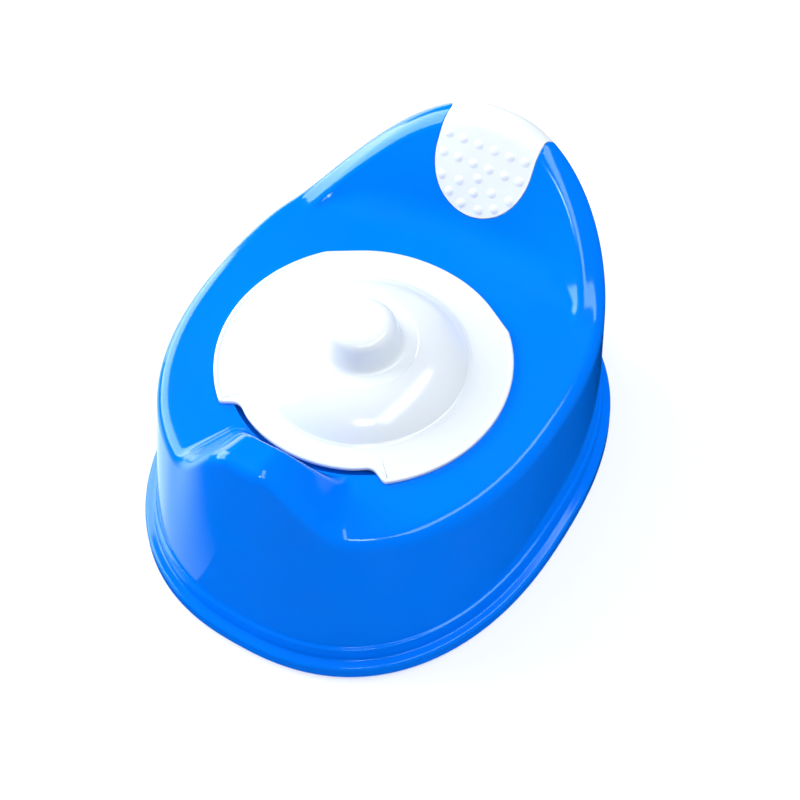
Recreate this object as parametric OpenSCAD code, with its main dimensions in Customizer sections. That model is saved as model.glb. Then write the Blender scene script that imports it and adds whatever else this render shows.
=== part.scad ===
// Potty training chair: a one-piece seat shell, the pot that hangs in it, its lid,
// a snap-in grip in the backrest and four rubber feet.
// Origin: on the floor, at the centre of the base. +Z is up, -Y is the front.

/* [Base] */
// Width of the base flange
base_w = 304; // [296:1:320]
// Length of the base flange, front to back
base_l = 381; // [370:1:400]
// Squareness of the base outline (2 is an ellipse)
base_round = 2.35; // [2.1:0.05:2.6]
// Distance of the band above the flange inside the base outline
band_in = 8.6; // [7:0.1:10]
// Distance of the wall's foot inside the base outline
wall_in = 11.2; // [10.5:0.1:14]
// Height of the base flange
flange_h = 12; // [10:1:16]
// Height of the small ledge where the wall starts
ledge_h = 24.5; // [22:0.5:30]

/* [Shell] */
// Thickness of the moulded wall
wall = 2.5; // [2:0.1:2.8]
// Width over the top edge of the side walls
rim_w = 272; // [264:1:280]
// Length over the top edge, front to back
rim_l = 335; // [325:1:342]
// Distance of the top outline's centre behind the base's centre
rim_y = 8.5; // [6:0.5:12]
// Squareness of the top outline
rim_round = 2.3; // [2.1:0.05:2.5]
// Height of the flat seat above the floor
seat_h = 125.5; // [115:0.5:135]
// Corner size of the seat's outer edge
rim_bend = 10; // [8:1:12]
// Width of the rounded slope on top of the side walls, beside the seat opening
side_top_w = 30; // [26:1:32]

/* [Seat opening] */
// Radius of the round opening
opening_r = 91; // [88:1:92]
// Distance of the opening's centre in front of the base's centre
opening_front = 19.5; // [17:0.5:22]
// Depth of the ledge that carries the pot, below the seat
pot_ledge_drop = 9; // [8:0.5:12]
// Inner radius of that ledge
pot_ledge_r = 85.5; // [85.2:0.1:86]

/* [Splash guard] */
// Height of the guard above the seat
guard_h = 53; // [40:1:60]
// Height lost from the guard's front shoulder to its crest
guard_fall = 7; // [5:0.5:14]
// Width of the guard's sloping top
guard_top_w = 27; // [20:0.5:30]
// Width of that top where the guard runs out beside the seat opening
guard_end_w = 41; // [36:0.5:42]
// Half angle of the guard's flat top
guard_top = 4; // [2:1:8]
// Half angle at which the guard has run out into the seat
guard_foot = 28; // [25:1:32]
// Depth of the leg channels beside the guard
channel_dip = 1; // [0:1:6]

/* [Backrest] */
// Height of the backrest above the seat
back_h = 72; // [60:1:80]
// Width of the roll along the top of the backrest
back_top_w = 19; // [17:1:22]
// Angle from the front at which the backrest starts to rise
back_start = 130; // [126:1:136]
// Radius of the crease between the seat and the backrest
crease_r = 220; // [200:5:260]
// Distance from the opening's centre back to that crease
crease_back = 134; // [128:1:138]
// Size of the concave corner along the crease
crease_bend = 17; // [12:1:20]

/* [Back grip] */
// Radius of the round lower end of the notch
grip_r = 37.3; // [32:0.1:40]
// Height of the centre of that round end
grip_z = 174; // [170:1:178]
// Height of the lower end of the notch on the rear wall
grip_rear_z = 158; // [150:1:165]
// Gap all round between the grip and the notch
grip_gap = 0.5; // [0.4:0.1:0.8]
// Width of the hidden lip that holds the grip behind the shell
grip_lip = 4; // [3:0.5:5]

/* [Pot] */
// Outer radius of the pot's rim
pot_rim_r = 90; // [87:0.5:90]
// Radius inside the top of the bowl
bowl_r = 83; // [78:0.5:83]
// Radius of the flat floor of the bowl, inside
bowl_floor_r = 48; // [40:1:55]
// Size of the rounded corner between the bowl's floor and its side
bowl_bend = 24; // [16:1:28]
// Height of the bowl's underside above the floor
pot_clear = 16; // [12:1:30]
// Wall thickness of the pot
pot_wall = 2.2; // [2:0.1:2.4]

/* [Lid] */
// Radius of the lid
lid_r = 100; // [98:1:102]
// Radius of the edge that clears the splash guard
lid_notch_r = 88.5; // [86:0.5:89]
// Thickness of the lid's flat border
lid_t = 2.4; // [2:0.1:2.6]
// Radius at the foot of the dome
dome_r = 72; // [68:1:75]
// Height of the dome
dome_h = 21; // [18:1:24]
// Radius of the fine step round the top of the dome
ring_r = 36.5; // [34:0.5:40]
// Height of the knob's top
knob_h = 42.5; // [36:0.5:46]
// Radius of the knob's top
knob_r = 21; // [18:1:22]
// How much wider the knob is at its foot
knob_flare = 6; // [3:0.5:7]
// Depth of the locating skirt under the lid
skirt_h = 3; // [2:0.5:4]

/* [Feet] */
// Radius of each rubber foot
foot_r = 11; // [9:0.5:12]
// Height at which the shell's bottom edge stands
foot_h = 2; // [1.5:0.5:3]
// Radius of the stem that is pressed into its lug
stem_r = 4; // [3:0.5:4.5]

/* [Hidden] */
fit_gap = 0.3;
lug_t = 3;
lug_r = foot_r + 1;
// Flared foot and lip of the flange, measured inwards from the base outline
foot_in = 0.6;
lip_in = 2;
// Depth of the straight top part of the pot's wall
pot_collar_h = 12;
// Flat left between the seat opening and the guard's inner face
seat_lip = 1.5;
// The crease stays this far inside the top of the backrest
crease_margin = 6;
// Angles at which the flat of the seat starts to widen and reaches the crease
seat_wide_from = 30;
seat_wide_to = 100;
// Angle beyond the guard's foot over which the top narrows again
guard_past = 32;
// Middle and half width of the leg channels, as angles
channel_at = 37;
channel_half = 18;
// Angles over which the sides' slope narrows to the roll of the backrest
roll_from = 90;
roll_to = 125;
// Angles of the feet about the opening's centre, from the front
FRONT_FOOT = 46;
REAR_FOOT = 140;
opening_y = -opening_front;
// Angles of the shell's sections: close together round the guard and the backrest
ANGLES = concat([for (a = [0:3:36]) a], [for (a = [42:6:120]) a], [for (a = [126:3:234]) a],
                [for (a = [240:6:318]) a], [for (a = [324:3:357]) a]);
GRIP_ANGLES = [for (a = [159:3:201]) a];
// Number of the body path's last point that belongs to the backrest's skin
BACK_LAST = 17;
// The notch: where its tool starts, and where its depth changes on top of the backrest
notch_front_y = opening_y + crease_back - 14;
notch_middle_y = opening_y + crease_back + 52;
notch_top = 60;
// Corners of the lid's outline on its left side, about the lid's centre: the rounded
// corner beside the notch, and the clipped rear with its flat curve across the middle
LID_NOTCH = [[-63, -78.5], [-52, -71], [-40, -79]];
LID_CLIP = [[-100, 44], [-77, 66], [-54, 80.2], [-30, 95], [0, 95]];
lid_past = lid_r + 10;

// ---- plain functions ----
function ease(t) = let (u = min(1, max(0, t))) u * u * (3 - 2 * u);
function mix(a, b, t) = a + (b - a) * t;
function unit(v) = v / norm(v);
// Angle away from the front, 0 to 180
function turn(a) = min(a, 360 - a);

// Distance from the opening's centre to a superellipse centred at y = cy, found by halving
function outline_r(a, half_w, half_l, cy, n, low = 0, high = 400, steps = 24) =
    let (m = (low + high) / 2, x = m * sin(a) / half_w, y = (opening_y - m * cos(a) - cy) / half_l)
    steps == 0 ? m :
    pow(abs(x), n) + pow(abs(y), n) > 1 ? outline_r(a, half_w, half_l, cy, n, low, m, steps - 1) :
    outline_r(a, half_w, half_l, cy, n, m, high, steps - 1);

// Smooth curve from s to f that leaves and arrives in the direction of p
function curve(s, p, f, steps) =
    [for (i = [0:steps]) let (t = i / steps) (1 - t) * (1 - t) * s + 2 * t * (1 - t) * p + t * t * f];
// A rounded corner at p1 between p0 and p2: d is its length along each side
function bend(p0, p1, p2, d, steps) =
    let (e = min(d, 0.48 * norm(p0 - p1), 0.48 * norm(p2 - p1)))
    curve(p1 + e * unit(p0 - p1), p1, p1 + e * unit(p2 - p1), steps);

// ---- how the shell changes round the opening ----
function guard(a) = 1 - ease((turn(a) - guard_top) / (guard_foot - guard_top));
function back(a) = ease((turn(a) - back_start) / (178 - back_start));
function channel(a) = 1 - ease(abs(turn(a) - channel_at) / channel_half);
function side_width(a) = mix(guard_end_w, side_top_w, ease((turn(a) - guard_foot) / guard_past));
function roll(a) = ease((turn(a) - roll_from) / (roll_to - roll_from));
function seat_width(a) = ease((turn(a) - seat_wide_from) / (seat_wide_to - seat_wide_from));
function base_r(a) = outline_r(a, base_w / 2, base_l / 2, 0, base_round);
function rim_r(a) = outline_r(a, rim_w / 2, rim_l / 2, rim_y, rim_round);
function crease_at(a) =
    let (c = (crease_r - crease_back) * cos(a))
    c + sqrt(c * c + crease_back * (2 * crease_r - crease_back));

// Corners of the body's section at angle a, as [radius, height], from the wall's foot to the pot's ledge
function corners(a) =
    let (rim = rim_r(a), g = guard(a), b = back(a),
         crest = rim - mix(mix(side_width(a), guard_top_w, g), back_top_w, roll(a)),
         foot = mix(opening_r + seat_lip, min(crease_at(a), crest - crease_margin), seat_width(a)))
    [[base_r(a) - wall_in, ledge_h],
     [rim, seat_h + guard_h * g + back_h * b - channel_dip * channel(a)],
     [crest, seat_h + (guard_h - guard_fall) * g + back_h * b],
     [foot, seat_h],
     [opening_r, seat_h],
     [opening_r, seat_h - pot_ledge_drop],
     [pot_ledge_r, seat_h - pot_ledge_drop]];

function body_path(a) =
    let (c = corners(a))
    concat([c[0]],
           bend(c[0], c[1], c[2], rim_bend, 6),
           bend(c[1], c[2], c[3], 3 + 7 * back(a), 5),
           bend(c[2], c[3], c[4], crease_bend, 5),
           bend(c[3], c[4], c[5], 3, 3),
           [c[5], c[6]]);

// Base flange at angle a: a flared foot, a round groove, a band and a small ledge
function flange_path(a) =
    let (r = base_r(a), foot = [r - foot_in, foot_h], edge = [r, flange_h / 2],
         lip = [r - lip_in, flange_h], groove = [r - band_in + foot_in, flange_h + 1],
         band = [r - band_in, ledge_h - 1])
    concat([foot],
           bend(foot, edge, lip, 2, 1),
           bend(edge, lip, groove, 1.5, 1),
           bend(lip, groove, band, 3, 2),
           [band + [-0.2, 0.2]]);
function flange_inside(a) =
    let (r = base_r(a) - wall)
    [[r - foot_in, foot_h], [r - lip_in, flange_h - wall], [r - band_in, flange_h + 1 - wall]];

// Normal of a path at point i, stretched so that an offset keeps its distance at the corners
function side(p, q) = let (u = unit(q - p)) [u[1], -u[0]];
function mitre(path, i) =
    let (last = len(path) - 1,
         m = side(path[max(0, i - 1)], path[max(1, i)]),
         n = side(path[min(last - 1, i)], path[min(last, i + 1)]))
    (m + n) / (1 + m * n);
function inset(path, t) = [for (i = [0:len(path) - 1]) path[i] - t * mitre(path, i)];
function backwards(list) = [for (i = [len(list) - 1:-1:0]) list[i]];

function place(a, section) = [for (p = section) [p[0] * sin(a), opening_y - p[0] * cos(a), p[1]]];

// Solid through a row of sections that have equal numbers of points
module loft(loops, ring) {
    n = len(loops);
    m = len(loops[0]);
    walls = [for (i = [0:n - (ring ? 1 : 2)]) for (j = [0:m - 1])
             let (k = (i + 1) % n, q = (j + 1) % m)
             each [[i * m + j, i * m + q, k * m + q], [i * m + j, k * m + q, k * m + j]]];
    ends = ring ? [] : [[for (j = [m - 1:-1:0]) j], [for (j = [0:m - 1]) (n - 1) * m + j]];
    polyhedron([for (l = loops) each l], concat(walls, ends));
}

module shell_skin() {
    loft([for (a = ANGLES)
          place(a, concat(flange_path(a), body_path(a),
                          backwards(inset(body_path(a), wall)), backwards(flange_inside(a))))], true);
}

// Part of the backrest between two depths under its surface
module back_skin(outer, inner) {
    loft([for (a = GRIP_ANGLES)
          let (path = body_path(a), p = inset(path, outer), q = inset(path, inner))
          place(a, concat([for (i = [0:BACK_LAST]) p[i]], [for (i = [BACK_LAST:-1:0]) q[i]]))], false);
}

// One depth of the notch: a round end centred at height z, open upwards, between two places along Y
module notch_prism(g, from_y, to_y, z) {
    translate([0, to_y, 0])
        rotate([90, 0, 0])
            linear_extrude(to_y - from_y)
                union() {
                    translate([0, z]) circle(grip_r + g, $fn = 96);
                    translate([-grip_r - g, z]) square([2 * (grip_r + g), notch_top]);
                }
}

// U-shaped tool for the notch, grown or shrunk by g: deep on the seat side, short on the rear wall
module notch_tool(g) {
    notch_prism(g, notch_front_y, notch_middle_y, grip_z);
    notch_prism(g, notch_middle_y, base_l / 2 + 10, grip_rear_z + grip_r);
}

// Puts a foot just inside the base's edge, at an angle about the opening
module at_foot(x_side, angle) {
    reach = base_r(angle) - wall - lug_r;
    translate([x_side * reach * sin(angle), opening_y - reach * cos(angle), 0]) children();
}

module each_foot() {
    for (s = [-1, 1]) {
        at_foot(s, FRONT_FOOT) children();
        at_foot(s, REAR_FOOT) children();
    }
}

// Lugs inside the base's edge, which the rubber feet are pressed into
module foot_lugs() {
    translate([0, 0, foot_h])
        each_foot() cylinder(r = lug_r, h = lug_t, $fn = 64);
}

module foot_holes() {
    each_foot() cylinder(r = stem_r, h = 20, $fn = 48);
}

// ---- sub-parts ----
module chair_shell() {
    color("dodgerblue")
        difference() {
            union() {
                shell_skin();
                foot_lugs();
            }
            notch_tool(0);
            foot_holes();
        }
}

module back_grip() {
    color("white")
        union() {
            intersection() {
                back_skin(0, 2 * wall);
                notch_tool(-grip_gap);
            }
            intersection() {
                back_skin(wall + 0.2, 2 * wall);
                notch_tool(grip_lip);
            }
        }
}

module pot() {
    rim_z = seat_h - pot_ledge_drop + fit_gap;
    top = rim_z + pot_wall;
    collar_z = rim_z - pot_collar_h;
    floor_z = pot_clear + pot_wall;
    color("royalblue")
        translate([0, opening_y, 0])
            rotate_extrude($fn = 128)
                polygon(concat(
                    [[0, pot_clear]],
                    bend([0, pot_clear], [bowl_floor_r + 6, pot_clear], [bowl_r, rim_z], bowl_bend, 10),
                    [[bowl_r + pot_wall, collar_z], [bowl_r + pot_wall, rim_z], [pot_rim_r, rim_z]],
                    bend([pot_rim_r, rim_z], [pot_rim_r, top], [bowl_r, top], 1.5, 3),
                    bend([pot_rim_r, top], [bowl_r, top], [bowl_r, collar_z], 1, 2),
                    [[bowl_r, collar_z]],
                    bend([bowl_r, collar_z], [bowl_floor_r + 4, floor_z], [0, floor_z], bowl_bend, 10),
                    [[0, floor_z]]));
}

// Outline of the lid seen from above: round, with a wide notch for the splash guard and a clipped rear
module lid_outline() {
    difference() {
        circle(lid_r, $fn = 192);
        for (flip = [0, 1])
            mirror([flip, 0]) {
                difference() {
                    polygon(concat([[LID_NOTCH[0][0], -lid_past], LID_NOTCH[0]],
                                   bend(LID_NOTCH[0], LID_NOTCH[1], LID_NOTCH[2], 6, 6),
                                   [LID_NOTCH[2], [0, -lid_notch_r], [0, -lid_past]]));
                    circle(lid_notch_r, $fn = 192);
                }
                polygon(concat([[-lid_past, LID_CLIP[0][1]], LID_CLIP[0]],
                               bend(LID_CLIP[0], LID_CLIP[1], LID_CLIP[2], 5, 4),
                               curve(LID_CLIP[2], LID_CLIP[3], LID_CLIP[4], 10),
                               [[0, lid_past], [-lid_past, lid_past]]));
            }
    }
}

// Section of the lid: a flat border, a dome with a fine step, a hollow knob and a locating skirt
module lid_profile() {
    rim = lid_r + 5;
    skirt_r = bowl_r - 3;
    under = dome_h - lid_t;
    knob_foot = knob_r + knob_flare;
    step = dome_h - 0.6;
    crown = knob_h + 0.5;
    polygon(concat(
        [[0, knob_h - lid_t], [knob_r - lid_t, knob_h - lid_t], [knob_foot - lid_t, under]],
        curve([ring_r, under], [dome_r - 17, under - 3], [dome_r - 3, 0], 10),
        [[skirt_r - 2, 0], [skirt_r - 2, -skirt_h], [skirt_r, -skirt_h], [skirt_r, 0],
         [rim, 0], [rim, lid_t]],
        curve([dome_r, lid_t], [dome_r - 14, dome_h - 3], [ring_r, dome_h], 12),
        [[ring_r - 0.6, step]],
        bend([ring_r, step], [knob_foot, dome_h - 1], [knob_r + 1, knob_h], 5, 5),
        bend([knob_foot, dome_h - 1], [knob_r + 0.8, knob_h], [0, crown], 6, 5),
        [[0, crown]]));
}

module lid() {
    color("white")
        translate([0, opening_y, seat_h + fit_gap])
            intersection() {
                rotate_extrude($fn = 192) lid_profile();
                translate([0, 0, -skirt_h - 1])
                    linear_extrude(knob_h + skirt_h + 5) lid_outline();
            }
}

module foot(x_side, angle) {
    color("dimgray")
        at_foot(x_side, angle) {
            cylinder(r = foot_r, h = foot_h, $fn = 64);
            cylinder(r = stem_r - 0.05, h = foot_h + lug_t + 2, $fn = 48);
            translate([0, 0, foot_h + lug_t])
                cylinder(r1 = stem_r + 1.2, r2 = stem_r - 1, h = 3, $fn = 48);
        }
}

module foot_front_left() { foot(-1, FRONT_FOOT); }
module foot_front_right() { foot(1, FRONT_FOOT); }
module foot_rear_left() { foot(-1, REAR_FOOT); }
module foot_rear_right() { foot(1, REAR_FOOT); }

chair_shell();
back_grip();
pot();
lid();
foot_front_left();
foot_front_right();
foot_rear_left();
foot_rear_right();
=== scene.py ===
"""Looks of a potty training chair: glossy blue shell, white lid, bumpy white grip, pot and rubber feet."""

import math

import bmesh
import bpy
import numpy as np
from mathutils import Matrix, Vector


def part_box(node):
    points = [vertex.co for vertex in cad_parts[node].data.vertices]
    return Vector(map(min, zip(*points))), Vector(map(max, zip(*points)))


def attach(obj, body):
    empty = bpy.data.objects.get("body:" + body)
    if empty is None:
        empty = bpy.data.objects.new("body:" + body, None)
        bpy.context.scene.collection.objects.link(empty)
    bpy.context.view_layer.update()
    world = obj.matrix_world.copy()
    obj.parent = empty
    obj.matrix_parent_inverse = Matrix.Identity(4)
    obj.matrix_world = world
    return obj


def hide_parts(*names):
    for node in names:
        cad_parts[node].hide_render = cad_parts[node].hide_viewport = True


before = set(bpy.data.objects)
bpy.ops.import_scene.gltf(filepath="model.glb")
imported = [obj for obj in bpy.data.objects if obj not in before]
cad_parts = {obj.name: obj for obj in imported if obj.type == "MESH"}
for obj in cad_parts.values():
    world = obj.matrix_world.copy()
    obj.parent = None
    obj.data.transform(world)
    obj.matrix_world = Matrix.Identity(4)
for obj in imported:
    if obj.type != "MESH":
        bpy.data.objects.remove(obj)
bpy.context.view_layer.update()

# ---------------------------------------------------------------- sizes, in millimetres, in the row frame
MM = 0.001
pot_low, pot_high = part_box("pot")
OPENING_Y = (pot_low.y + pot_high.y) / 2 / MM
# Angles are in degrees from the front, about the centre of the seat opening
BASE_HALF, BASE_ROUND = (152.0, 190.5), 2.35
RIM_HALF, RIM_Y, RIM_ROUND = (136.0, 167.5), 8.5, 2.3
WALL, SHELL_EDGE = 2.5, 0.5
FOOT_H, FLANGE_H, LEDGE_H = 2.0, 12.0, 24.5
# How far inside the base's outline the corners of its section lie, and the rise of two of them
FOOT_IN, LIP_IN, GROOVE_IN, BAND_IN, WALL_IN, LEDGE_IN = 0.6, 1.0, 8.0, 8.6, 11.2, 11.3
GROOVE_RISE, LEDGE_RISE = 1.0, 0.7
SEAT_H = 125.5
OPENING_R, OPENING_EDGE, SEAT_LIP = 91.0, 3.0, 1.5
# Widths of the slope on top of the wall, and where it narrows towards the backrest
SIDE_TOP_W, GUARD_TOP_W, GUARD_END_W, BACK_TOP_W = 30.0, 27.0, 41.0, 19.0
ROLL_FROM, ROLL_OVER = 90.0, 35.0
POT_LEDGE = (85.5, 9.0)
GUARD_H, GUARD_FALL, GUARD_TOP, GUARD_FOOT, GUARD_PAST = 53.0, 7.0, 4.0, 28.0, 32.0
BACK_H, BACK_START, BACK_END = 72.0, 130.0, 178.0
CREASE_R, CREASE_BACK, CREASE_BEND, CREASE_MARGIN = 220.0, 134.0, 17.0, 6.0
SEAT_WIDE_FROM, SEAT_WIDE_OVER = 30.0, 70.0
# Bends of the wall's top edge and of the crest inside it, which is rounder on the backrest
RIM_BEND, CREST_BEND, BACK_CREST_BEND = 10.0, 3.0, 7.0
CHANNEL_DIP, CHANNEL_AT, CHANNEL_HALF = 1.0, 37.0, 18.0
# The notch: round below GRIP_Z on the seat side, below GRIP_REAR_Z + GRIP_R behind, flared over the top
GRIP_R, GRIP_Z, GRIP_REAR_Z = 37.3, 174.0, 158.0
NOTCH_FRONT_Y = OPENING_Y + CREASE_BACK - 14
NOTCH_MIDDLE_Y, NOTCH_BLEND = OPENING_Y + CREASE_BACK + 52, 10.0
NOTCH_FLARE, NOTCH_FLARE_Y = 5.0, (161.0, 10.0)
FAR_OUTSIDE = 50.0
# A point of a grid nearer to its cut edge than this share of a cell moves onto the edge
SNAP = 0.32
# Grip: the gap round it, its thickness and edge, and the lip behind the shell with its depth
GRIP_GAP, GRIP_T, GRIP_EDGE = 0.5, 3.4, 0.7
GRIP_LIP, GRIP_LIP_DEPTH, GRIP_LIP_T, GRIP_LIP_EDGE = 4.0, WALL + 0.2, 1.6, 0.3
# Its columns in degrees, its rows, and the points of the body's section it lies between
GRIP_FROM, GRIP_TO, GRIP_STEP, GRIP_ROWS = 163.0, 197.01, 0.2, 260
GRIP_FIRST, GRIP_LAST = 24, 86
LID_R, LID_NOTCH_R, LID_T, LID_BEAD = 100.0, 88.5, 2.4, 0.55
# Corners of the lid's outline on one side (x, distance in front of its centre): notch and clipped rear
LID_NOTCH = [(63.0, 78.5), (52.0, 71.0), (40.0, 79.0)]
LID_CLIP = [(100.0, -44.0), (77.0, -66.0), (54.0, -80.2), (30.0, -95.0), (0.0, -95.0)]
LID_CORNER_FROM, LID_CORNER_TO = 34, 42
LID_Z = SEAT_H + 0.3
DOME_R, DOME_H, RING_R = 72.0, 21.0, 36.5
KNOB_R, KNOB_H, KNOB_FLARE = 21.0, 42.5, 6.0
SKIRT_R, SKIRT_H, SKIRT_T = 80.0, 3.0, 2.0
FEET = ("foot_front_left", "foot_front_right", "foot_rear_left", "foot_rear_right")
# The grip's bumps: radius, height and shape, then their centres (x, z): two rows of six, and arcs below
BUMP_R, BUMP_H, BUMP_LEAN, BUMP_CROWN = 3.3, 0.95, 1.17, 0.85
BUMPS_REAR_Y = OPENING_Y + CREASE_BACK + 48
BUMPS = [(x, z) for z in (181.0, 169.0) for x in (-30.0, -18.5, -6.2, 6.2, 18.5, 30.0)]
BUMPS += [(s * x, z) for s in (-1, 1) for x, z in ((27.0, 155.5), (18.0, 147.3), (7.0, 142.8), (13.0, 155.7))]
BUMPS += [(0.0, 151.7), (0.0, 160.8)]


# ---------------------------------------------------------------- plain functions
def ease(t):
    u = np.clip(t, 0.0, 1.0)
    return u * u * (3 - 2 * u)


def mix(a, b, t):
    return a + (b - a) * t


def turn(angle):
    """Degrees away from the front, 0 to 180."""
    return np.abs((angle + 180.0) % 360.0 - 180.0)


def outline_radius(angle, half, centre_y, power):
    """Distance from the opening's centre to a superellipse, found by halving."""
    sin, cos = np.sin(np.radians(angle)), np.cos(np.radians(angle))
    low, high = np.zeros_like(angle), np.full_like(angle, 400.0)
    for _ in range(40):
        m = (low + high) / 2
        outside = (
            np.abs(m * sin / half[0]) ** power
            + np.abs((OPENING_Y - m * cos - centre_y) / half[1]) ** power
        ) > 1
        low, high = np.where(outside, low, m), np.where(outside, m, high)
    return low


def curve(s, p, f, steps):
    """Smooth curve from s to f that leaves and arrives in the direction of p. Arrays of (angles, 2)."""
    t = np.linspace(0, 1, steps + 1)[None, :, None]
    s, p, f = s[:, None], p[:, None], f[:, None]
    return (1 - t) ** 2 * s + 2 * t * (1 - t) * p + t * t * f


def bend(p0, p1, p2, d, steps):
    """Rounded corner at p1, starting d before it and ending d after it, or less where a side is short."""
    a, b = p0 - p1, p2 - p1
    la, lb = np.linalg.norm(a, axis=1, keepdims=True), np.linalg.norm(b, axis=1, keepdims=True)
    e = np.minimum(np.minimum(d, 0.48 * la), 0.48 * lb)
    return curve(p1 + a / la * e, p1, p1 + b / lb * e, steps)


def straight(a, b, steps):
    """Points between a and b, without the ends."""
    t = np.linspace(0, 1, steps + 2)[1:-1][None, :, None]
    return a[:, None] * (1 - t) + b[:, None] * t


# ---------------------------------------------------------------- the shell's surface
def body_corners(angle):
    """Corners of the body's section as (radius, height), and how far the backrest has risen, 0 to 1."""
    away = turn(angle)
    guard = 1 - ease((away - GUARD_TOP) / (GUARD_FOOT - GUARD_TOP))
    back = ease((away - BACK_START) / (BACK_END - BACK_START))
    channel = 1 - ease(np.abs(away - CHANNEL_AT) / CHANNEL_HALF)
    roll = ease((away - ROLL_FROM) / ROLL_OVER)
    widening = ease((away - SEAT_WIDE_FROM) / SEAT_WIDE_OVER)
    base = outline_radius(angle, BASE_HALF, 0.0, BASE_ROUND)
    rim = outline_radius(angle, RIM_HALF, RIM_Y, RIM_ROUND)
    side = mix(GUARD_END_W, SIDE_TOP_W, ease((away - GUARD_FOOT) / GUARD_PAST))
    crest = rim - mix(mix(side, GUARD_TOP_W, guard), BACK_TOP_W, roll)
    c = (CREASE_R - CREASE_BACK) * np.cos(np.radians(angle))
    crease = c + np.sqrt(c * c + CREASE_BACK * (2 * CREASE_R - CREASE_BACK))
    foot = mix(OPENING_R + SEAT_LIP, np.minimum(crease, crest - CREASE_MARGIN), widening)
    flat = np.full_like(angle, SEAT_H)
    hole = np.full_like(angle, OPENING_R)
    ledge_z = flat - POT_LEDGE[1]
    pairs = [
        (base - WALL_IN, np.full_like(angle, LEDGE_H)),
        (rim, SEAT_H + GUARD_H * guard + BACK_H * back - CHANNEL_DIP * channel),
        (crest, SEAT_H + (GUARD_H - GUARD_FALL) * guard + BACK_H * back),
        (foot, flat),
        (hole, flat),
        (hole, ledge_z),
        (np.full_like(angle, POT_LEDGE[0]), ledge_z),
    ]
    return [np.stack(p, 1) for p in pairs], back[:, None]


def joined(parts):
    """One path out of paths and single points, for every angle."""
    return np.concatenate([p if p.ndim == 3 else p[:, None] for p in parts], 1)


def body_section(angle):
    """Section of the shell from the wall's foot over the rim to the pot's ledge."""
    c, back = body_corners(angle)
    rim = bend(c[0], c[1], c[2], RIM_BEND, 12)
    crest = bend(c[1], c[2], c[3], CREST_BEND + BACK_CREST_BEND * back, 12)
    crease = bend(c[2], c[3], c[4], CREASE_BEND, 12)
    edge = bend(c[3], c[4], c[5], OPENING_EDGE, 8)
    return joined(
        [
            straight(c[0], rim[:, 0], 34),
            rim,
            straight(rim[:, -1], crest[:, 0], 2),
            crest,
            straight(crest[:, -1], crease[:, 0], 14),
            crease,
            straight(crease[:, -1], edge[:, 0], 8),
            edge,
            straight(edge[:, -1], c[5], 2),
            bend(edge[:, -1], c[5], c[6], 1.0, 3),
            c[6],
        ]
    )


def flange_section(angle):
    """Section of the base's edge: flared foot, groove, band and small ledge."""
    r = outline_radius(angle, BASE_HALF, 0.0, BASE_ROUND)

    def at(inset, z):
        return np.stack([r - inset, np.full_like(r, z)], 1)

    foot, lip = at(FOOT_IN, FOOT_H), at(LIP_IN, FLANGE_H)
    groove, band = at(GROOVE_IN, FLANGE_H + GROOVE_RISE), at(BAND_IN, LEDGE_H)
    wall_foot = at(LEDGE_IN, LEDGE_H + LEDGE_RISE)
    upper, _ = body_corners(angle)
    return joined(
        [
            foot,
            straight(foot, lip, 3),
            bend(foot, lip, groove, 2.2, 8),
            bend(lip, groove, band, 1.6, 8),
            straight(groove, band, 4),
            bend(groove, band, wall_foot, 0.8, 5),
            bend(band, wall_foot, upper[1], 1.0, 5),
        ]
    )


def to_xyz(angle, section):
    """Points in space, in millimetres, of the sections at the given angles."""
    a = np.radians(angle)[:, None]
    return np.stack(
        [section[..., 0] * np.sin(a), OPENING_Y - section[..., 0] * np.cos(a), section[..., 1]], -1
    )


def notch_distance(points, grow=0.0):
    """Distance outside the U-shaped notch, seen from the front; negative inside it."""
    x, y, z = points[..., 0], points[..., 1], points[..., 2]
    rear = ease((y - NOTCH_MIDDLE_Y + NOTCH_BLEND / 2) / NOTCH_BLEND)
    centre = mix(GRIP_Z, GRIP_REAR_Z + GRIP_R, rear)
    below = np.maximum(centre - z, 0)
    flare = NOTCH_FLARE * np.clip((y - NOTCH_FLARE_Y[0]) / NOTCH_FLARE_Y[1], 0, 1) ** 2
    inside = np.hypot(x, below) - GRIP_R - flare - grow
    return np.where(y < NOTCH_FRONT_Y, FAR_OUTSIDE, inside)


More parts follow.
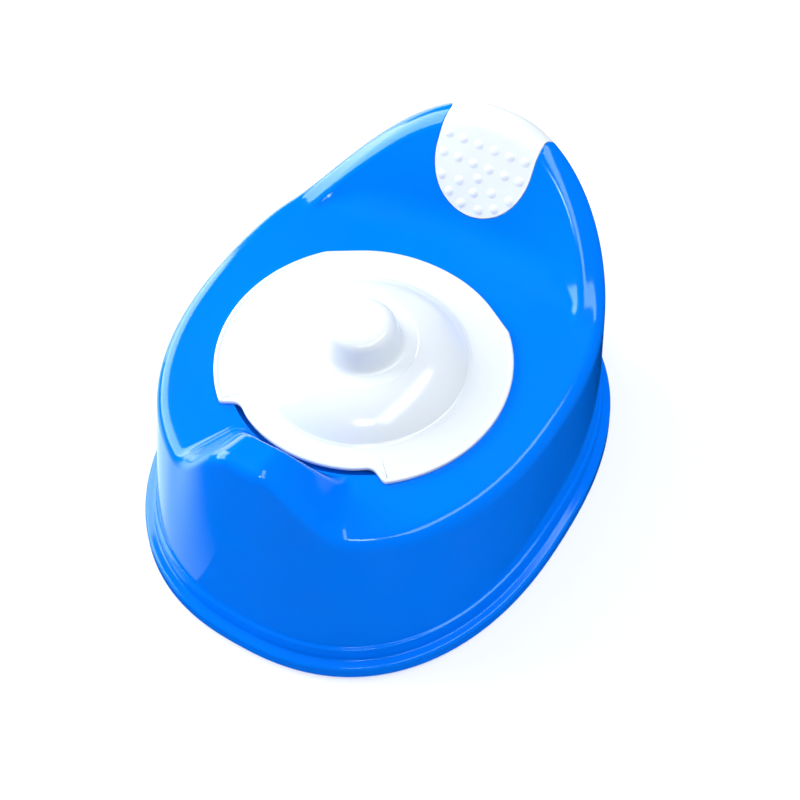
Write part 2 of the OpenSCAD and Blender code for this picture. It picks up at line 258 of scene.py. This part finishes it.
def trimmed(points, value, ring):
    """Faces of a grid of points where value > 0, cut along value = 0. ring: the grid's columns close up."""
    n, m = value.shape
    points, value = points.copy(), value.copy()
    best = np.full((n, m), SNAP)
    target = points.copy()
    columns = n if ring else n - 1
    edges = [((i, j), ((i + 1) % n, j)) for i in range(columns) for j in range(m)]
    edges += [((i, j), (i, j + 1)) for i in range(n) for j in range(m - 1)]
    for a, b in edges:
        va, vb = value[a], value[b]
        if va * vb < 0:
            t = va / (va - vb)
            for node, share, other in ((a, t, b), (b, 1 - t, a)):
                if share < best[node]:
                    best[node] = share
                    target[node] = mix(points[node], points[other], share)
    snapped = best < SNAP
    points[snapped] = target[snapped]
    value[snapped] = 0.0
    verts = [tuple(p) for p in points.reshape(-1, 3)]
    cuts, faces = {}, []

    def cut(a, b):
        key = (a, b) if a < b else (b, a)
        if key not in cuts:
            t = value[a] / (value[a] - value[b])
            cuts[key] = len(verts)
            verts.append(tuple(mix(points[a], points[b], t)))
        return cuts[key]

    for i in range(columns):
        for j in range(m - 1):
            k = (i + 1) % n
            corners = [(i, j), (i, j + 1), (k, j + 1), (k, j)]
            values = [value[c] for c in corners]
            if max(values) <= 0:
                continue
            face = []
            for c, (a, va) in enumerate(zip(corners, values)):
                b, vb = corners[(c + 1) % 4], values[(c + 1) % 4]
                if va >= 0:
                    face.append(a[0] * m + a[1])
                if va * vb < 0:
                    face.append(cut(a, b))
            if len(face) > 2:
                faces.append(face)
    return verts, faces


# ---------------------------------------------------------------- mesh helpers
def new_object(name, verts, faces):
    """A smooth-shaded mesh object from points in millimetres."""
    used = sorted({v for f in faces for v in f})
    index = {v: i for i, v in enumerate(used)}
    mesh = bpy.data.meshes.new(name)
    mesh.from_pydata(
        [[c * MM for c in verts[v]] for v in used], [], [[index[v] for v in f] for f in faces]
    )
    mesh.validate()
    bm = bmesh.new()
    bm.from_mesh(mesh)
    bmesh.ops.remove_doubles(bm, verts=bm.verts, dist=1e-6)
    bmesh.ops.recalc_face_normals(bm, faces=bm.faces)
    bm.to_mesh(mesh)
    bm.free()
    mesh.polygons.foreach_set("use_smooth", [True] * len(mesh.polygons))
    obj = bpy.data.objects.new(name, mesh)
    bpy.context.collection.objects.link(obj)
    return obj


def flip_if_inward(obj, inner_point):
    """Makes the normals of an open skin point away from a point inside the object."""
    mesh = obj.data
    away = sum(
        (p.center - inner_point).dot(p.normal) * p.area for p in list(mesh.polygons)[::17]
    )
    if away < 0:
        mesh.flip_normals()


def thicken(obj, thickness, edge):
    """Gives a skin its thickness inwards and rounds its cut edges."""
    solid = obj.modifiers.new("thickness", "SOLIDIFY")
    solid.thickness = thickness * MM
    solid.offset = -1.0
    solid.use_even_offset = False
    round_off = obj.modifiers.new("edges", "BEVEL")
    round_off.width = edge * MM
    round_off.segments = 3
    round_off.limit_method = "ANGLE"
    round_off.angle_limit = math.radians(75)
    round_off.use_clamp_overlap = True


def ring_solid(name, rings, centre):
    """Closed solid from rings of equally many points; a ring of one point closes an end."""
    verts, faces, loops = [], [], []
    for ring in rings:
        loops.append(list(range(len(verts), len(verts) + len(ring))))
        verts.extend(tuple(np.asarray(q, float) + centre) for q in ring)
    n = max(len(loop) for loop in loops)
    for a, b in zip(loops, loops[1:]):
        for i in range(n):
            k = (i + 1) % n
            if len(a) == 1:
                faces.append([a[0], b[i], b[k]])
            elif len(b) == 1:
                faces.append([a[i], b[0], a[k]])
            else:
                faces.append([a[i], b[i], b[k], a[k]])
    return new_object(name, verts, faces)


def round_ring(r, z, angles):
    """A circle of points at height z, or one point on the axis."""
    if r < 1e-6:
        return [(0.0, 0.0, z)]
    return np.stack([r * np.sin(angles), -r * np.cos(angles), np.full(len(angles), float(z))], 1)


def revolve(name, profile, columns, centre):
    """Closed solid of revolution from (radius, height) points."""
    angles = np.linspace(0, 2 * math.pi, columns, endpoint=False)
    return ring_solid(name, [round_ring(r, z, angles) for r, z in profile], np.array(centre, float))


def flat_curve(s, p, f, steps):
    """The same as curve(), for single points."""
    s, p, f = (np.array([q], float) for q in (s, p, f))
    return [tuple(q) for q in curve(s, p, f, steps)[0]]


def flat_bend(p0, p1, p2, d, steps):
    """The same as bend(), for single points."""
    p0, p1, p2 = (np.array([q], float) for q in (p0, p1, p2))
    return [tuple(q) for q in bend(p0, p1, p2, d, steps)[0]]


def rounded(points, sizes, steps=5):
    """Open path with its inner corners rounded by the given sizes (0 keeps a corner)."""
    path = [points[0]]
    for i, size in enumerate(sizes, 1):
        if size:
            path += flat_bend(points[i - 1], points[i], points[i + 1], size, steps)
        else:
            path.append(points[i])
    return path + [points[-1]]


# ---------------------------------------------------------------- materials
def plastic(
    name, colour, roughness, grain, grain_scale,
    spread=0.04, haze=0.06, gloss=0.5, sheen=(1, 1, 1), ior=1.49,
):
    """Moulded plastic: faint flow marks in colour, uneven gloss, fine scratches and a moulding ripple.

    spread: change of colour; haze: change of roughness; grain: depth of the ripple in metres.
    """
    mat = bpy.data.materials.new(name)
    mat.use_nodes = True
    nodes, links = mat.node_tree.nodes, mat.node_tree.links
    nodes.clear()
    out = nodes.new("ShaderNodeOutputMaterial")
    shader = nodes.new("ShaderNodeBsdfPrincipled")
    shader.inputs["IOR"].default_value = ior
    shader.inputs["Specular IOR Level"].default_value = gloss
    shader.inputs["Specular Tint"].default_value = (*sheen, 1)
    links.new(shader.outputs["BSDF"], out.inputs["Surface"])
    place = nodes.new("ShaderNodeTexCoord")

    def noise(scale, detail):
        n = nodes.new("ShaderNodeTexNoise")
        n.inputs["Scale"].default_value = scale
        n.inputs["Detail"].default_value = detail
        links.new(place.outputs["Object"], n.inputs["Vector"])
        return n

    def ramp(source, low, high, start=0.3, end=0.7):
        r = nodes.new("ShaderNodeMapRange")
        r.inputs["From Min"].default_value = start
        r.inputs["From Max"].default_value = end
        r.inputs["To Min"].default_value = low
        r.inputs["To Max"].default_value = high
        links.new(source, r.inputs["Value"])
        return r.outputs["Result"]

    flow = noise(9.0, 3.0)
    tint = nodes.new("ShaderNodeMix")
    tint.data_type = "RGBA"
    darker = [c * (1 - spread) for c in colour]
    lighter = [min(1.0, c * (1 + spread)) for c in colour]
    # Of this node's sockets, inputs 6 and 7 and output 2 are the ones for colours
    tint.inputs[6].default_value = (*darker, 1)
    tint.inputs[7].default_value = (*lighter, 1)
    links.new(ramp(flow.outputs["Fac"], 0.0, 1.0), tint.inputs[0])
    links.new(tint.outputs[2], shader.inputs["Base Color"])

    smears = noise(28.0, 6.0)
    links.new(ramp(smears.outputs["Fac"], roughness, roughness + haze), shader.inputs["Roughness"])

    scratches = nodes.new("ShaderNodeTexNoise")
    stretch = nodes.new("ShaderNodeMapping")
    stretch.inputs["Rotation"].default_value = (0.3, 0.2, 0.7)
    stretch.inputs["Scale"].default_value = (1.0, 14.0, 3.0)
    links.new(place.outputs["Object"], stretch.inputs["Vector"])
    links.new(stretch.outputs["Vector"], scratches.inputs["Vector"])
    scratches.inputs["Scale"].default_value = 60.0
    scratches.inputs["Detail"].default_value = 2.0
    fine = nodes.new("ShaderNodeBump")
    fine.inputs["Strength"].default_value = 0.05
    fine.inputs["Distance"].default_value = 0.00005
    links.new(ramp(scratches.outputs["Fac"], 0.0, 1.0, 0.62, 0.7), fine.inputs["Height"])

    ripple = noise(grain_scale, 2.0)
    skin = nodes.new("ShaderNodeBump")
    skin.inputs["Strength"].default_value = 1.0
    skin.inputs["Distance"].default_value = grain
    links.new(ripple.outputs["Fac"], skin.inputs["Height"])
    links.new(fine.outputs["Normal"], skin.inputs["Normal"])
    links.new(skin.outputs["Normal"], shader.inputs["Normal"])
    return mat


def paint(obj, material):
    obj.data.materials.clear()
    obj.data.materials.append(material)


BLUE_SHEEN = (0.5, 0.75, 1.0)
blue = plastic(
    "glossy_blue_plastic", (0.0, 0.185, 0.93), 0.07, 0.00005, 14.0, sheen=BLUE_SHEEN, ior=1.45
)
# The plastics below are white. The blue tint in these two colours is painted light: the blue light from the
# shell and the sky that falls on the lid and the grip.
white_gloss = plastic("glossy_white_plastic", (0.71, 0.765, 0.825), 0.14, 0.00010, 22.0, spread=0.015)
white_satin = plastic("satin_white_plastic", (0.75, 0.80, 0.85), 0.34, 0.000012, 420.0, spread=0.015)
pot_blue = plastic(
    "pot_blue_plastic", (0.0, 0.15, 0.82), 0.14, 0.0001, 16.0, gloss=0.4, sheen=BLUE_SHEEN
)
rubber = plastic("foot_rubber", (0.035, 0.035, 0.038), 0.62, 0.00004, 900.0, spread=0.15, haze=0.2)


# ---------------------------------------------------------------- pieces
def shell_angles():
    """Columns of the shell's grid: fine at the guard and the backrest's notch."""
    stops = [(0, 40, 1.0), (40, 120, 2.0), (120, 164, 1.0), (164, 196, 0.5)]
    stops += [(196, 240, 1.0), (240, 320, 2.0), (320, 360, 1.0)]
    return np.concatenate([np.arange(a, b, s, dtype=float) for a, b, s in stops])


def make_shell():
    angle = shell_angles()
    section = joined([flange_section(angle), body_section(angle)])
    points = to_xyz(angle, section)
    verts, faces = trimmed(points, notch_distance(points), True)
    shell = new_object("shell_moulding", verts, faces)
    flip_if_inward(shell, Vector((0, OPENING_Y * MM, 0.04)))
    thicken(shell, WALL, SHELL_EDGE)
    paint(shell, blue)
    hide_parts("chair_shell")
    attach(shell, "chair")


def even_rows(section):
    """Resamples sections in even rows from the rear wall over the top to the foot of the backrest."""
    columns = len(section)
    length = np.linalg.norm(np.diff(section, axis=1), axis=2)
    along = np.concatenate([np.zeros((columns, 1)), np.cumsum(length, axis=1)], 1)
    even = np.empty((columns, GRIP_ROWS, 2))
    for i in range(columns):
        place = np.linspace(along[i, GRIP_FIRST], along[i, GRIP_LAST], GRIP_ROWS)
        for c in (0, 1):
            even[i, :, c] = np.interp(place, along[i], section[i, :, c])
    return even


def bump_lift(points):
    """Height of the bumps over the grip's surface on the seat side, 0 to 1."""
    lift = np.zeros(points.shape[:2])
    inner = points[..., 1] < BUMPS_REAR_Y
    for x, z in BUMPS:
        far = np.sqrt((points[..., 0] - x) ** 2 + ((points[..., 2] - z) * BUMP_LEAN) ** 2)
        dome = np.clip(1 - (far / BUMP_R) ** 2, 0, 1) ** BUMP_CROWN
        lift = np.maximum(lift, np.where(inner, dome, 0))
    return lift


def grip_skin(name, depth, grow, lift_height, thickness, edge):
    """The backrest's surface inside the notch, at a depth under the shell's skin."""
    angle = np.arange(GRIP_FROM, GRIP_TO, GRIP_STEP)
    points = to_xyz(angle, even_rows(body_section(angle)))
    normal = np.cross(np.gradient(points, axis=0), np.gradient(points, axis=1))
    normal /= np.linalg.norm(normal, axis=2, keepdims=True)
    if normal[len(angle) // 2, GRIP_ROWS // 2, 2] < 0:
        normal = -normal
    value = -notch_distance(points, grow)
    points = points + normal * (lift_height * bump_lift(points) - depth)[..., None]
    verts, faces = trimmed(points, value, False)
    skin = new_object(name, verts, faces)
    flip_if_inward(skin, Vector((0, 0.155, 0.12)))
    thicken(skin, thickness, edge)
    paint(skin, white_satin)
    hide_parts("back_grip")
    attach(skin, "chair")


def make_grip():
    grip_skin("grip_insert", 0.0, -GRIP_GAP, BUMP_H, GRIP_T, GRIP_EDGE)
    grip_skin("grip_lip", GRIP_LIP_DEPTH, GRIP_LIP, 0.0, GRIP_LIP_T, GRIP_LIP_EDGE)


def lid_columns():
    """Angles round the lid, closer together at the notch's corners and the clipped rear."""
    half = [(0, 24, 1.0), (24, 42, 0.3), (42, 112, 1.0), (112, 122, 0.4), (122, 150, 1.0)]
    half += [(150, 165, 0.5), (165, 180, 1.0)]
    side = np.concatenate([np.arange(a, b, s, dtype=float) for a, b, s in half])
    return np.radians(np.concatenate([side, [180.0], 360.0 - side[:0:-1]]))


def lid_outline(angles):
    """Distance of the lid's edge from its centre at each angle."""
    notch = [LID_NOTCH[0]] + flat_bend(*LID_NOTCH, 6.0, 12) + [LID_NOTCH[2]]
    rear = [LID_CLIP[0]] + flat_bend(*LID_CLIP[:3], 6.0, 10) + flat_curve(*LID_CLIP[2:], 24)

    def polar(points):
        q = np.array(points)
        return np.arctan2(q[:, 0], q[:, 1]), np.hypot(q[:, 0], q[:, 1])

    away = np.abs((angles + math.pi) % (2 * math.pi) - math.pi)
    radius = np.full(len(angles), LID_R)
    a, r = polar(notch)
    order = np.argsort(a)
    inside = away < a.max()
    r_notch = np.interp(away, a[order], r[order], left=LID_NOTCH_R)
    radius = np.where(inside, np.minimum(radius, np.maximum(r_notch, LID_NOTCH_R - 3)), radius)
    radius = np.where(away < a.min(), LID_NOTCH_R, radius)
    a, r = polar(rear)
    fine = np.linspace(a.min(), a.max(), 400)
    order = np.argsort(a)
    x = np.interp(fine, a[order], np.array(rear)[order, 0])
    y = np.interp(fine, a[order], np.array(rear)[order, 1])
    r_rear = np.interp(away, np.arctan2(x, y), np.hypot(x, y))
    radius = np.where(away > a.min(), np.minimum(radius, r_rear), radius)
    # Round the outer corner beside the notch
    near = (away > math.radians(LID_CORNER_FROM)) & (away < math.radians(LID_CORNER_TO))
    for _ in range(12):
        smooth = (np.roll(radius, 1) + 2 * radius + np.roll(radius, -1)) / 4
        radius = np.where(near, smooth, radius)
    return radius


def lid_top(angles):
    """Rings of the lid's top, from the axis over the knob and the dome to the flat border."""
    t = LID_T
    knob = rounded(
        [
            (0, KNOB_H + 0.5),
            (KNOB_R + 0.6, KNOB_H),
            (KNOB_R + KNOB_FLARE, DOME_H - 1),
            (RING_R, DOME_H - 0.35),
        ],
        [7.0, 7.0],
        12,
    )
    step = [(RING_R + 0.3, DOME_H - 0.28), (RING_R + 0.7, DOME_H - 0.06), (RING_R + 1.0, DOME_H)]
    dome = flat_curve((RING_R + 1.3, DOME_H), (DOME_R - 14.5, DOME_H - 2.8), (DOME_R - 2, t + 1.3), 30)
    kerb = [(DOME_R - 1.6, t + 0.95), (DOME_R - 1.0, t + 0.8), (DOME_R - 0.5, t + 0.6)]
    kerb += [(DOME_R, t + 0.15), (DOME_R + 0.4, t), (DOME_R + 1.2, t), (DOME_R + 5, t)]
    return [round_ring(q, z, angles) for q, z in knob + step + dome + kerb]


def lid_edge(angles):
    """Rings along the lid's outline: the bead, the edge and the start of the underside."""
    r = lid_outline(angles)
    edge = np.stack([r * np.sin(angles), -r * np.cos(angles)], 1)
    along = np.roll(edge, -1, axis=0) - np.roll(edge, 1, axis=0)
    for _ in range(3):
        along = (np.roll(along, 1, axis=0) + 2 * along + np.roll(along, -1, axis=0)) / 4
    inward = np.stack([-along[:, 1], along[:, 0]], 1)
    inward /= np.linalg.norm(inward, axis=1, keepdims=True)
    inward *= np.where((inward * edge).sum(1) > 0, -1, 1)[:, None]

    def edge_ring(inset, z):
        q = edge + inward * inset
        return np.concatenate([q, np.full((len(q), 1), float(z))], 1)

    t, bead = LID_T, LID_T + LID_BEAD
    corners = [(3.8, t), (3.1, t), (2.4, bead), (0, bead), (0, 0), (3, 0)]
    return [edge_ring(d, z) for d, z in rounded(corners, [0.8, 0.7, 1.2, 0.7], 4)]


def lid_underside(angles):
    """Rings of the underside, from the locating skirt back to the axis inside the knob."""
    under, skirt_in, knob_top = DOME_H - LID_T, SKIRT_R - SKIRT_T, KNOB_H - LID_T
    skirt = rounded(
        [
            (SKIRT_R + 3, 0),
            (SKIRT_R, 0),
            (SKIRT_R, -SKIRT_H),
            (skirt_in, -SKIRT_H),
            (skirt_in, 0),
            (DOME_R - 2, 0),
        ],
        [0.6, 0.5, 0.5, 0.6],
        3,
    )
    hollow = flat_curve((DOME_R - 3, 0.2), (DOME_R - 17, under - 3), (RING_R, under), 16)
    inside = rounded(
        [(RING_R - 2, under), (KNOB_R + 0.6, under), (KNOB_R - 2.4, knob_top), (0, knob_top)],
        [2.0, 2.5],
        5,
    )
    return [round_ring(q, z, angles) for q, z in skirt + hollow + inside]


def make_lid():
    """Border with a bead along its edge, kerbed dome, fine step, hollow knob and skirt."""
    angles = lid_columns()
    rings = lid_top(angles) + lid_edge(angles) + lid_underside(angles)
    lid = ring_solid("lid_moulding", rings, np.array([0, OPENING_Y, LID_Z]))
    paint(lid, white_gloss)
    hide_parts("lid")
    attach(lid, "lid")


def make_pot():
    """Round bowl with a turned-over rim and a low ring under its floor."""
    wall, floor, rim_z, collar = 2.2, 16.0, 116.8, 104.8
    top, inner, outer = rim_z + wall, 83.0, 90.0
    profile = [(0, floor + 0.8), (38, floor + 0.8)] + rounded(
        [(38, floor + 0.8), (40, floor), (43, floor), (54, floor + 0.8), (inner, rim_z)],
        [0.6, 0.6, 20],
        8,
    )[1:-1]
    profile += rounded(
        [
            (inner - 2, rim_z - 16),
            (inner + wall, collar),
            (inner + wall, rim_z),
            (outer, rim_z),
            (outer, top),
            (inner, top),
            (inner, collar),
            (52, floor + wall),
            (0, floor + wall),
        ],
        [2, 1.2, 0.7, 1.3, 1.3, 3, 24],
        8,
    )
    pot = revolve("pot_bowl", profile, 180, (0, OPENING_Y, 0))
    paint(pot, pot_blue)
    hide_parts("pot")
    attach(pot, "pot")


def make_feet():
    """Rubber feet with grooved undersides, and the shell's lugs that hold them."""
    sole = [(0, 0.5), (2.0, 0.5)]
    for r in (2.4, 5.2, 8.0):
        sole += rounded([(r, 0.5), (r + 0.3, 0), (r + 1.9, 0), (r + 2.2, 0.5)], [0.15, 0.15], 2)
    body = rounded(
        [(10.3, 0.4), (10.6, 0), (11, 0.2), (11, 2), (3.95, 2), (3.95, 5.1), (5.1, 5.1), (3.2, 8), (0, 8)],
        [0.2, 0.3, 0.3, 0.2, 0.1, 0.2, 0.5],
        3,
    )
    lug = rounded(
        [(4, 3.5), (4, 2), (12, 2), (12, 5), (4, 5), (4, 3.5)],
        [0.2, 0.3, 0.8, 0.2],
        3,
    )
    for node in FEET:
        low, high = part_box(node)
        centre = ((low.x + high.x) / 2 / MM, (low.y + high.y) / 2 / MM, 0)
        foot = revolve(node + "_rubber", sole + body, 72, centre)
        paint(foot, rubber)
        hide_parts(node)
        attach(foot, "chair")
        boss = revolve(node + "_lug", lug, 72, centre)
        paint(boss, blue)
        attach(boss, "chair")


# ---------------------------------------------------------------- floor, light and camera, in metres
def make_floor():
    bpy.ops.mesh.primitive_plane_add(size=8.0, location=(0, 0, 0))
    floor = bpy.context.object
    floor.name = "floor"
    mat = bpy.data.materials.new("pale_floor")
    mat.use_nodes = True
    shader = mat.node_tree.nodes["Principled BSDF"]
    shader.inputs["Base Color"].default_value = (0.62, 0.63, 0.64, 1)
    shader.inputs["Roughness"].default_value = 0.8
    shader.inputs["Emission Color"].default_value = (0.95, 0.975, 1.0, 1)
    shader.inputs["Emission Strength"].default_value = 0.4
    floor.data.materials.append(mat)
    floor.visible_glossy = False


def softbox(name, place, target, size, power, mirrored=True, lights=True):
    """Area light. mirrored: it shows in glossy surfaces; lights: it gives light to matt ones."""
    data = bpy.data.lights.new(name, "AREA")
    data.shape = "RECTANGLE"
    data.size, data.size_y = size
    data.energy = power
    lamp = bpy.data.objects.new(name, data)
    bpy.context.collection.objects.link(lamp)
    lamp.location = place
    lamp.visible_glossy = mirrored
    lamp.visible_diffuse = lights
    lamp.visible_camera = False
    lamp.rotation_euler = (Vector(target) - Vector(place)).to_track_quat("-Z", "Y").to_euler()


def make_light():
    world = bpy.data.worlds.new("studio")
    bpy.context.scene.world = world
    world.use_nodes = True
    world.cycles_visibility.glossy = False
    world.node_tree.nodes["Background"].inputs["Color"].default_value = (0.88, 0.94, 1.0, 1)
    world.node_tree.nodes["Background"].inputs["Strength"].default_value = 0.3
    centre = (0, 0, 0.1)
    softbox("left_softbox", (-1.2, -0.15, 0.62), centre, (1.3, 0.7), 22, mirrored=False)
    softbox("left_card", (-1.2, 0.0, 0.7), centre, (1.5, 1.0), 42, lights=False)
    softbox("long_strip", (0.6, 0.12, 1.35), centre, (1.5, 0.32), 11)
    softbox("top_softbox", (-0.3, 0.3, 1.7), centre, (1.8, 1.8), 8.5, mirrored=False)
    softbox("rim_card", (-1.1, 0.78, 0.0), centre, (1.4, 0.6), 8)
    softbox("front_window", (0.42, -0.72, 1.35), centre, (0.3, 0.16), 4.0)


def reflector_glow(strength, full_at_y, dark_at_y):
    """Emission of the reflector sheet, which fades out towards the front."""
    mat = bpy.data.materials.new("reflector_sheet")
    mat.use_nodes = True
    nodes, links = mat.node_tree.nodes, mat.node_tree.links
    nodes.clear()
    glow = nodes.new("ShaderNodeEmission")
    glow.inputs["Color"].default_value = (0.7, 0.95, 1.0, 1)
    place = nodes.new("ShaderNodeTexCoord")
    split = nodes.new("ShaderNodeSeparateXYZ")
    fade = nodes.new("ShaderNodeMapRange")
    fade.inputs["From Min"].default_value = dark_at_y
    fade.inputs["From Max"].default_value = full_at_y
    fade.inputs["To Max"].default_value = strength
    out = nodes.new("ShaderNodeOutputMaterial")
    links.new(place.outputs["Object"], split.inputs["Vector"])
    links.new(split.outputs["Y"], fade.inputs["Value"])
    links.new(fade.outputs["Result"], glow.inputs["Strength"])
    links.new(glow.outputs["Emission"], out.inputs["Surface"])
    return mat


def make_reflector():
    """A bright sheet round the left of the chair, just over the floor, that shows only as a reflection."""
    gap, width, height = 4.0, 300.0, 3.0
    angle = np.arange(232.0, 340.1, 3.0)
    inner = outline_radius(angle, BASE_HALF, 0.0, BASE_ROUND) + gap
    edges = np.stack([np.stack([r, np.full_like(r, height)], 1) for r in (inner, inner + width)], 1)
    verts = [tuple(p) for p in to_xyz(angle, edges).reshape(-1, 3)]
    faces = [[2 * i, 2 * i + 1, 2 * i + 3, 2 * i + 2] for i in range(len(angle) - 1)]
    sheet = new_object("reflector", verts, faces)
    sheet.data.materials.append(reflector_glow(1.4, -0.14, -0.225))
    sheet.visible_camera = False
    sheet.visible_diffuse = False
    sheet.visible_shadow = False


def make_camera():
    """The view was fitted to the round lid and the base's outline."""
    azimuth, elevation, roll = math.radians(32.01), math.radians(53.64), math.radians(-1.49)
    distance, right_shift, up_shift = 0.9996, 0.02429, -0.02753
    back = Vector(
        (
            math.sin(azimuth) * math.cos(elevation),
            -math.cos(azimuth) * math.cos(elevation),
            math.sin(elevation),
        )
    )
    right = Vector((math.cos(azimuth), math.sin(azimuth), 0))
    up = back.cross(right)
    r = right * math.cos(roll) + up * math.sin(roll)
    u = up * math.cos(roll) - right * math.sin(roll)
    lid_centre = Vector((0, OPENING_Y * MM, 0.1281))
    place = lid_centre + back * distance + r * right_shift + u * up_shift
    data = bpy.data.cameras.new("camera")
    data.sensor_width = 36.0
    data.lens = 67.5
    camera = bpy.data.objects.new("camera", data)
    bpy.context.collection.objects.link(camera)
    camera.matrix_world = Matrix.Translation(place) @ Matrix((r, u, back)).transposed().to_4x4()
    bpy.context.scene.camera = camera


make_shell()
make_grip()
make_lid()
make_pot()
make_feet()
make_floor()
make_light()
make_reflector()
make_camera()
bpy.context.scene.view_settings.view_transform = "Standard"
